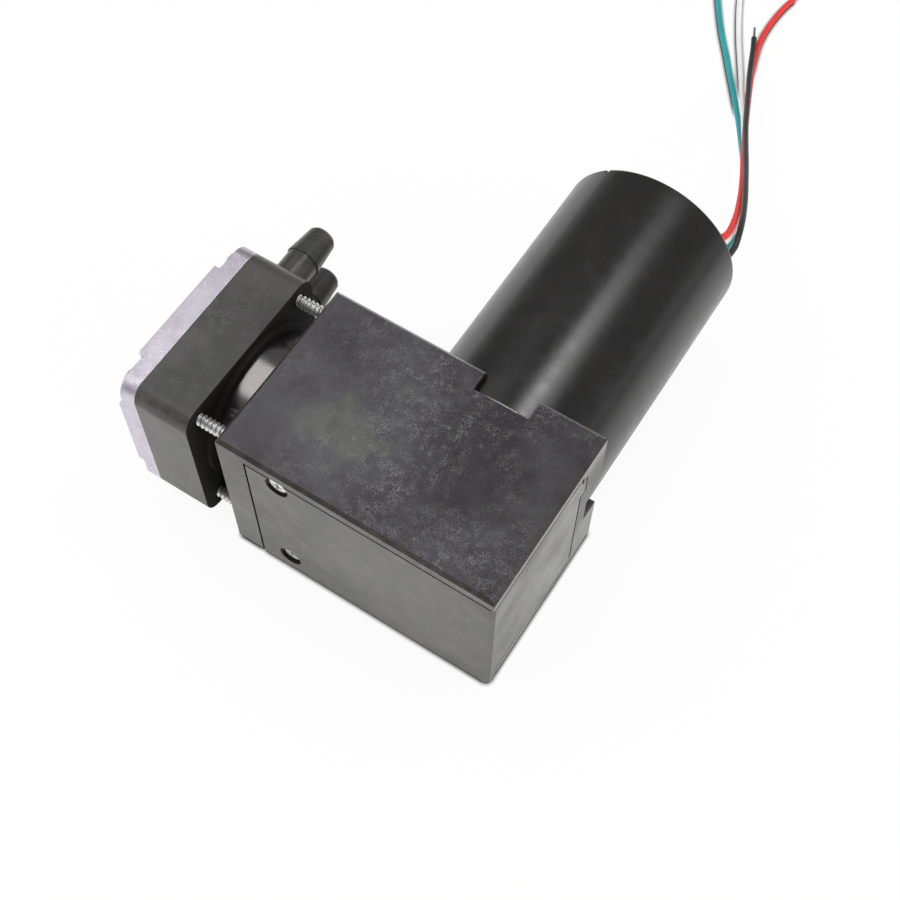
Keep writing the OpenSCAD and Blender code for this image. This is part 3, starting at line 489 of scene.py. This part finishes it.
def dress_cad_nodes():
    """Gives every CAD node its finish, and those in SOFT_EDGES rounded edges that catch the light."""
    slot_of = {part["node"]: part["material_slot"] for part in frame["record"]["subparts"]}
    for name, node in nodes.items():
        node.data.materials.clear()
        node.data.materials.append(finishes[slot_of[name]])
        if name in SOFT_EDGES:
            round_edges(node, SOFT_EDGES[name])
        else:
            smooth(node.data, NODE_SMOOTH_ANGLE)


def round_edges(node, width):
    """Joins the flat facets, then rounds square edges by width and the edges of chamfers by CHAMFER_EDGE.
    The angles are in degrees, and an edge is rounded if it turns by more."""
    flat_within, square_from, chamfer_from = 0.6, 60, 38
    for face in node.data.polygons:
        face.use_smooth = True
    weld = node.modifiers.new("weld", "WELD")
    weld.merge_threshold = 0.002 * MM
    flat = node.modifiers.new("flats", "DECIMATE")
    flat.decimate_type = "DISSOLVE"
    flat.angle_limit = math.radians(flat_within)
    edges = (("square_edges", width, square_from), ("chamfer_edges", CHAMFER_EDGE, chamfer_from))
    for name, bevel_width, sharper_than in edges:
        bevel = node.modifiers.new(name, "BEVEL")
        bevel.width = bevel_width * MM
        bevel.segments = 3
        bevel.limit_method = "ANGLE"
        bevel.angle_limit = math.radians(sharper_than)
        bevel.miter_outer = "MITER_ARC"
    normals = node.modifiers.new("normals", "WEIGHTED_NORMAL")
    normals.weight = 60
    normals.keep_sharp = False


# Leads

# The leads' diameter and their routes from the grommet outwards, as in part.scad, in millimetres
LEAD_D = 1.46
LEAD_PATHS = {
    "red": [(14.2, 81.5, 30.3), (14.4, 83, 30.4), (15, 85, 29.9), (15.4, 87.8, 28.6), (14.8, 92.2, 26.4),
        (13.7, 97.2, 23.7), (12.2, 102.6, 20.9), (10.3, 108.5, 18.2), (8, 114.7, 15.7), (5.3, 121.3, 13.2),
        (2.6, 128.1, 10.6), (-0.2, 135.4, 8), (-2.9, 142.5, 5.6), (-5.3, 149, 3.6), (-7.5, 154.9, 2.1),
        (-9.5, 160.5, 1.1), (-11.1, 165.7, 0.75), (-12.2, 170.4, 0.75), (-12.7, 175.5, 0.75),
        (-12.7, 180.4, 0.75), (-12.3, 185, 0.75), (-11.6, 188.8, 0.75)],
    "white": [(14.9, 81.5, 28.4), (15, 83, 28.4), (15.6, 85.2, 27.9), (15.8, 88.2, 26.5), (15.3, 92.4, 24.5),
        (14.1, 98.2, 21.5), (12.2, 104.8, 18.3), (9.8, 111.7, 15.3), (7.2, 118.3, 12.6), (4.4, 125, 10),
        (1.3, 132, 7.4), (-1.8, 138.7, 5), (-4.8, 145.1, 3.1), (-7.9, 151, 1.7), (-10.9, 156.5, 0.9),
        (-13.9, 161.8, 0.75), (-16.9, 167.1, 0.75), (-19.9, 172.8, 0.75), (-22.8, 178.8, 0.75),
        (-25.1, 184.4, 0.75)],
    "teal": [(15.6, 81.5, 26.5), (15.8, 83, 26.4), (16.2, 85.5, 25.4), (16.3, 89.1, 23.7), (15.8, 93.7, 21.6),
        (14.6, 99.4, 19), (12.7, 105.6, 16.2), (10.3, 112, 13.4), (7.5, 118.6, 10.6), (4.4, 125.1, 8),
        (1.3, 131.2, 5.6), (-2, 137.4, 3.5), (-5.3, 143.2, 1.9), (-8.6, 148.4, 1), (-11.7, 152.8, 0.75),
        (-14.8, 157.1, 0.75), (-17.8, 161.4, 0.75), (-21.2, 166, 0.75), (-24.6, 171, 0.75),
        (-27.9, 176.3, 0.75), (-30.4, 180.5, 0.75)],
    "black": [(16.4, 81.5, 24.7), (16.8, 83, 24.8), (17.7, 84.9, 25.3), (18, 87.2, 26.2), (17.4, 90, 26.6),
        (16.4, 93.6, 26), (15.1, 97.7, 24.6), (13.1, 103.2, 22.4), (10.5, 109.7, 19.7), (7.3, 117.4, 16.6),
        (3.7, 125.6, 13.4), (0.1, 133.9, 10.4), (-2.8, 141.3, 7.9), (-5.3, 147.7, 5.9), (-8, 154.4, 4.1),
        (-10.4, 160.8, 2.9), (-12.2, 165.6, 2.4), (-13.7, 169, 2.3)],
}


def smooth_route(points, steps=4):
    """Points along a smooth curve through the given ones."""
    p = [Vector(q) for q in points]
    route = []
    for i in range(len(p) - 1):
        before = p[i - 1] if i else 2 * p[0] - p[1]
        after = p[i + 2] if i + 2 < len(p) else 2 * p[-1] - p[-2]
        for k in range(steps):
            t = k / steps
            route.append(0.5 * (2 * p[i] + (p[i + 1] - before) * t
                + (2 * before - 5 * p[i] + 4 * p[i + 1] - after) * t * t
                + (3 * p[i] - before - 3 * p[i + 1] + after) * t ** 3))
    return route + [p[-1]]


def route_length(route):
    return sum((b - a).length for a, b in zip(route, route[1:]))


def across(along):
    """Two directions at right angles to along and to each other, the first of them level."""
    side = UP.cross(along).normalized()
    return side, along.cross(side)


def sweep(bm, route, radius_at, sides=16):
    """A closed tube along route; radius_at(fraction of length) gives its radius."""
    total = route_length(route)
    rings, done = [], 0.0
    for i, point in enumerate(route):
        if i:
            done += (point - route[i - 1]).length
        side, top = across((route[min(i + 1, len(route) - 1)] - route[max(i - 1, 0)]).normalized())
        r = radius_at(done / total)
        rings.append([bm.verts.new(point + r * (side * math.cos(a) + top * math.sin(a)))
            for a in (2 * math.pi * k / sides for k in range(sides))])
    skin(bm, rings)
    bm.faces.new(rings[0][::-1])
    bm.faces.new(rings[-1])


def skin(bm, rings):
    """Faces between rings of equally many corners."""
    for a, b in zip(rings, rings[1:]):
        for k in range(len(a)):
            beside = (k + 1) % len(a)
            bm.faces.new((a[k], a[beside], b[beside], b[k]))


def strands(bm, route):
    """Seven tinned strands twisted together, one of them in the middle, out of the insulation's end."""
    strip_l, wire_r, twist_turns = 4.0, 0.13, 0.9
    starts_inside, bundle_taper = 0.2, 0.25
    tip_from, tip_taper = 0.9, 3
    outer_wires, steps = 6, 14
    start = route[-1]
    along = (route[-1] - route[-2]).normalized()
    side, top = across(along)
    for wire in range(outer_wires + 1):
        line = []
        for k in range(steps + 1):
            t = k / steps
            a = 2 * math.pi * (wire / outer_wires + twist_turns * t)
            r = 0 if wire == outer_wires else wire_r * 2 * (1 - bundle_taper * t)
            middle = start + along * (t * strip_l - starts_inside)
            line.append(middle + side * r * math.cos(a) + top * r * math.sin(a))
        sweep(bm, line, lambda t: wire_r * (1 if t < tip_from else 1 - tip_taper * (t - tip_from)), sides=8)


def add_leads():
    """The four leads, each an insulation with its tinned end, on the routes that the CAD solids follow."""
    ends = []
    for colour, path in LEAD_PATHS.items():
        route = smooth_route(path)
        piece = new_piece(f"{colour}_lead_insulation", lambda bm: sweep(bm, route, lambda t: LEAD_D / 2),
            f"lead_{colour}", "pump_body", smooth_angle=60)
        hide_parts(f"lead_{colour}")
        tip = new_piece(f"{colour}_lead_strands", lambda bm: strands(bm, route), "tinned_copper",
            "pump_body", smooth_angle=60)
        ends.append(tip)
    for tip in ends:
        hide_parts("lead_ends")


# Screws

# Places and sizes of the screws, in millimetres. FROM_AXIS is the distance from the cylinder's axis.
PAN_FROM_AXIS_Y = 17
PAN_FROM_AXIS_Z = 15.7
PAN_SEAT_X = -67.0
PAN_H = 1.4
PAN_R = 2.72
THREAD_END_X = -37.9
THREAD_CREST_R = 1.44
THREAD_ROOT_R = 1.08
THREAD_PITCH = 1.06
COVER_SCREW_X = -28.3
COVER_FROM_AXIS_Z = 16
COVER_SEAT_Y = FRONT_Y + 1.9
COVER_TIP_Y = -11.5
COVER_TIP_CHAMFER = 0.4
COVER_TIP_R = 0.8
COVER_HEAD_R = 2.56
COVER_SHANK_R = 1.25
RIM_CHAMFER = 0.08


def revolve(bm, profile, point_at, sides=48):
    """A closed solid of revolution. profile is (distance along, radius) pairs that start and end at radius 0;
    point_at(along, radius, angle) gives the point."""
    rings = []
    for along, radius in profile:
        if radius == 0:
            rings.append([bm.verts.new(point_at(along, 0, 0))])
        else:
            angles = [2 * math.pi * k / sides for k in range(sides)]
            rings.append([bm.verts.new(point_at(along, radius, angle)) for angle in angles])
    for a, b in zip(rings, rings[1:]):
        if len(a) == len(b):
            skin(bm, (a, b))
            continue
        for k in range(sides):
            beside = (k + 1) % sides
            bm.faces.new((a[0], b[k], b[beside]) if len(a) == 1 else (a[k], a[beside], b[0]))


def thread(bm, x0, x1, y, z, sides=32):
    """A threaded stretch along X with real helical flanks, closed at both ends."""
    rows_per_turn, fullness = 12, 0.8
    rows = int((x1 - x0) / THREAD_PITCH * rows_per_turn)
    turn = [2 * math.pi * i / rows_per_turn for i in range(rows_per_turn)]
    shape = [(0.5 - 0.5 * math.cos(angle)) ** fullness for angle in turn]
    rings = []
    for i in range(rows + 1):
        x = x0 + (x1 - x0) * i / rows
        ring = []
        for k in range(sides):
            angle = 2 * math.pi * k / sides
            phase = ((x - x0) / THREAD_PITCH - k / sides) % 1.0 * rows_per_turn
            low = int(phase) % rows_per_turn
            share = phase - int(phase)
            height = shape[low] * (1 - share) + shape[(low + 1) % rows_per_turn] * share
            radius = THREAD_ROOT_R + (THREAD_CREST_R - THREAD_ROOT_R) * height
            ring.append(bm.verts.new((x, y + radius * math.cos(angle), z + radius * math.sin(angle))))
        rings.append(ring)
    skin(bm, rings)
    bm.faces.new(rings[0][::-1])
    bm.faces.new(rings[-1])


def cross_bars(bm, centre, axis, width, length, depth):
    """Two crossing bars, length by width, that taper along the axis from above centre to depth below it."""
    above, grow_above, grow_below = -0.4, 1.12, 0.45
    axis = Vector(axis)
    side = UP if abs(axis.z) < 0.5 else Vector((1, 0, 0))
    other = axis.cross(side)
    for a, b in ((side, other), (other, side)):
        ring = []
        for level, grow in ((above, grow_above), (depth, grow_below)):
            for u, v in ((-1, -1), (1, -1), (1, 1), (-1, 1)):
                middle = Vector(centre) + axis * level
                ring.append(bm.verts.new(middle + a * u * length / 2 * grow + b * v * width / 2 * grow))
        for face in ((3, 2, 1, 0), (4, 5, 6, 7), (0, 1, 5, 4), (1, 2, 6, 5), (2, 3, 7, 6), (3, 0, 4, 7)):
            bm.faces.new([ring[i] for i in face])


def cut_cross(piece, centre, axis, width, length, depth):
    """Cuts a tapered cross recess into a screw head, with its point along the axis."""
    cutter = object_from("cutter", lambda bm: cross_bars(bm, centre, axis, width, length, depth))
    boolean = piece.modifiers.new("cross", "BOOLEAN")
    boolean.operation = "DIFFERENCE"
    boolean.solver = "EXACT"
    boolean.use_self = True
    boolean.object = cutter
    bpy.context.view_layer.update()
    depsgraph = bpy.context.evaluated_depsgraph_get()
    result = bpy.data.meshes.new_from_object(piece.evaluated_get(depsgraph))
    piece.modifiers.clear()
    piece.data = result
    bpy.data.objects.remove(cutter)
    smooth(result, angle=30)


def add_head_screws():
    """Four pan-head screws with a cross recess and a real thread across the open gap."""
    top = PAN_SEAT_X - PAN_H
    profile = [(top, 0), (top, 0.9), (top + 0.08, 1.6), (top + 0.26, 2.2), (top + 0.55, 2.56),
        (top + 0.9, PAN_R), (PAN_SEAT_X - RIM_CHAMFER, PAN_R), (PAN_SEAT_X, PAN_R - RIM_CHAMFER),
        (PAN_SEAT_X, 0)]
    for level, up in (("upper", 1), ("lower", -1)):
        for end, back in (("front", -1), ("rear", 1)):
            y = PAN_FROM_AXIS_Y * back
            z = AXIS_Z + PAN_FROM_AXIS_Z * up

            def at(along, radius, angle):
                return Vector((along, y + radius * math.cos(angle), z + radius * math.sin(angle)))

            head = new_piece(f"head_screw_{level}_{end}", lambda bm: revolve(bm, profile, at), "screw_zinc",
                "pump_body", smooth_angle=40)
            cut_cross(head, (top, y, z), (1, 0, 0), width=0.75, length=2.9, depth=1.0)
            shank = new_piece(f"head_screw_thread_{level}_{end}",
                lambda bm: thread(bm, PAN_SEAT_X + 0.02, THREAD_END_X, y, z), "screw_zinc", "pump_body",
                smooth_angle=50)
            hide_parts("head_screws")
            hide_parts("head_screws")


def add_cover_screws():
    """Two cross-recess screws, each sunk by its own depth in the front cover."""
    for level, up, sunk in (("upper", 1, 0.42), ("lower", -1, 0.62)):
        z = AXIS_Z + COVER_FROM_AXIS_Z * up

        def at(along, radius, angle):
            return Vector((COVER_SCREW_X + radius * math.cos(angle), along, z + radius * math.sin(angle)))

        top = FRONT_Y + sunk
        head = [(top, 0), (top, 1.3), (top + 0.07, 1.85), (top + 0.22, 2.25), (top + 0.5, 2.5),
            (top + 0.8, COVER_HEAD_R), (COVER_SEAT_Y - RIM_CHAMFER, COVER_HEAD_R),
            (COVER_SEAT_Y, COVER_HEAD_R - RIM_CHAMFER)]
        shank = [(COVER_SEAT_Y, COVER_SHANK_R), (COVER_TIP_Y - COVER_TIP_CHAMFER, COVER_SHANK_R),
            (COVER_TIP_Y, COVER_TIP_R), (COVER_TIP_Y, 0)]
        screw = new_piece(f"cover_screw_{level}", lambda bm: revolve(bm, head + shank, at), "screw_zinc",
            "pump_body", smooth_angle=40)
        cut_cross(screw, (COVER_SCREW_X, top, z), (0, 1, 0), width=0.7, length=2.6, depth=0.9)
        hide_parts("cover_screws")


# Floor and world


def add_floor():
    """A white floor, a hair below the object's flat underside, that can't be seen from below."""
    half = 1.5
    z = -0.02 * MM
    mesh = bpy.data.meshes.new("floor")
    corners = [(-half, -half, z), (half, -half, z), (half, half, z), (-half, half, z)]
    mesh.from_pydata(corners, [], [(0, 1, 2, 3)])
    mesh.materials.append(floor_white())
    floor = bpy.data.objects.new("floor", mesh)
    bpy.context.scene.collection.objects.link(floor)


def floor_white():
    """Plain white that keeps the object's shadow: mostly bright for the rays that see a background."""
    material = bpy.data.materials.new("floor_white")
    material.use_nodes = True
    material.node_tree.nodes.clear()
    tree = Tree(material.node_tree)
    bright_share = 0.92
    lit = tree.add("ShaderNodeBsdfDiffuse", Color=(0.86, 0.86, 0.86, 1))
    bright = tree.add("ShaderNodeEmission", Color=(1, 1, 1, 1))
    # The emission's strength carries painted shade and a painted light pool
    tree.link(open_floor(tree), bright.inputs["Strength"])
    from_above = tree.blend(tree.product(tree.white_rays(), bright_share), lit, bright)
    seen_from_below = tree.add("ShaderNodeNewGeometry").outputs["Backfacing"]
    one_sided = tree.blend(seen_from_below, from_above, tree.add("ShaderNodeBsdfTransparent"))
    tree.link(one_sided.outputs[0], tree.add("ShaderNodeOutputMaterial").inputs["Surface"])
    return material


def open_floor(tree):
    """How bright the floor shows, with painted shade and a painted light pool. To the camera it has painted
    shade only right beside what stands on it. In mirrored light it has painted shade in wider gaps, too, and
    fades to the right, where the painted light pool on the table ends."""
    fade_from, fade_to, dimmest = 0.06, 0.22, 0.25
    pool = tree.span(tree.coordinate("Object", "X"), 1.0, dimmest, fade_from, fade_to)
    choose = tree.add("ShaderNodeMix")
    choose.data_type = "FLOAT"
    tree.link(tree.add("ShaderNodeLightPath").outputs["Is Camera Ray"], choose.inputs["Factor"])
    tree.link(tree.product(openness(tree, distance=0.03, low=0.2, high=0.62), pool), choose.inputs[2])
    tree.link(openness(tree, distance=0.0012, low=0.5, high=0.95), choose.inputs[3])
    return choose.outputs[0]


def openness(tree, distance, low, high):
    """0 to 1 as the share of the sky that nothing within distance hides goes from low to high."""
    return tree.span(tree.add("ShaderNodeAmbientOcclusion", Distance=distance).outputs["AO"], 0, 1, low, high)


def add_world():
    """A plain studio: white round the horizon, where a view shows it, and a dimmer ceiling above."""
    world = bpy.data.worlds.new("studio")
    bpy.context.scene.world = world
    world.use_nodes = True
    tree = Tree(world.node_tree)
    horizon, overhead, ceiling_strength = -0.12, 0.2, 0.2
    lit = tree.put(tree.node("Background"), Color=(1.0, 0.98, 0.97, 1), Strength=0.7)
    white = tree.add("ShaderNodeBackground", Color=(1, 1, 1, 1))
    height = tree.coordinate("Generated", "Z")
    ceiling = tree.span(height, 1.0, ceiling_strength, horizon, overhead, how="SMOOTHSTEP")
    camera_ray = tree.add("ShaderNodeLightPath").outputs["Is Camera Ray"]
    tree.link(tree.larger(ceiling, camera_ray), white.inputs["Strength"])
    studio = tree.blend(tree.white_rays(), lit, white)
    tree.link(studio.outputs[0], tree.node("World Output").inputs["Surface"])


# Lamps

LAMP_TARGET = Vector((0, 0.03, 0.02))


def add_lamp(name, direction, distance, size, watts):
    """A rectangular lamp that faces the target from a distance and has a size, both in metres."""
    data = bpy.data.lights.new(name, "AREA")
    data.shape = "RECTANGLE"
    data.size, data.size_y = size
    data.energy = watts
    lamp = bpy.data.objects.new(name, data)
    lamp.location = LAMP_TARGET + Vector(direction).normalized() * distance
    lamp.rotation_euler = (LAMP_TARGET - lamp.location).to_track_quat("-Z", "Y").to_euler()
    lamp.visible_camera = False
    bpy.context.scene.collection.objects.link(lamp)


def add_lamps():
    add_lamp("ceiling_panel", (-0.50, -0.06, 0.864), distance=1.0, size=(0.96, 0.5), watts=2.3)
    add_lamp("ceiling_lamp", (0.14, 0.36, 0.92), distance=1.0, size=(0.2, 0.34), watts=1.2)
    add_lamp("ceiling_glow", (0.30, 0.36, 0.88), distance=1.02, size=(0.34, 0.4), watts=0.8)
    add_lamp("right_fill", (1.0, -0.1, 0.35), distance=1.1, size=(0.8, 0.6), watts=4.0)
    add_lamp("left_fill", (-1.0, -0.5, 0.5), distance=1.1, size=(0.8, 0.6), watts=2.0)


# The scene

add_camera()
make_nylons()
make_metals()
make_coatings()
add_leads()
dress_cad_nodes()
add_head_screws()
add_cover_screws()
add_floor()
add_world()
add_lamps()
bpy.context.scene.view_settings.view_transform = "Standard"
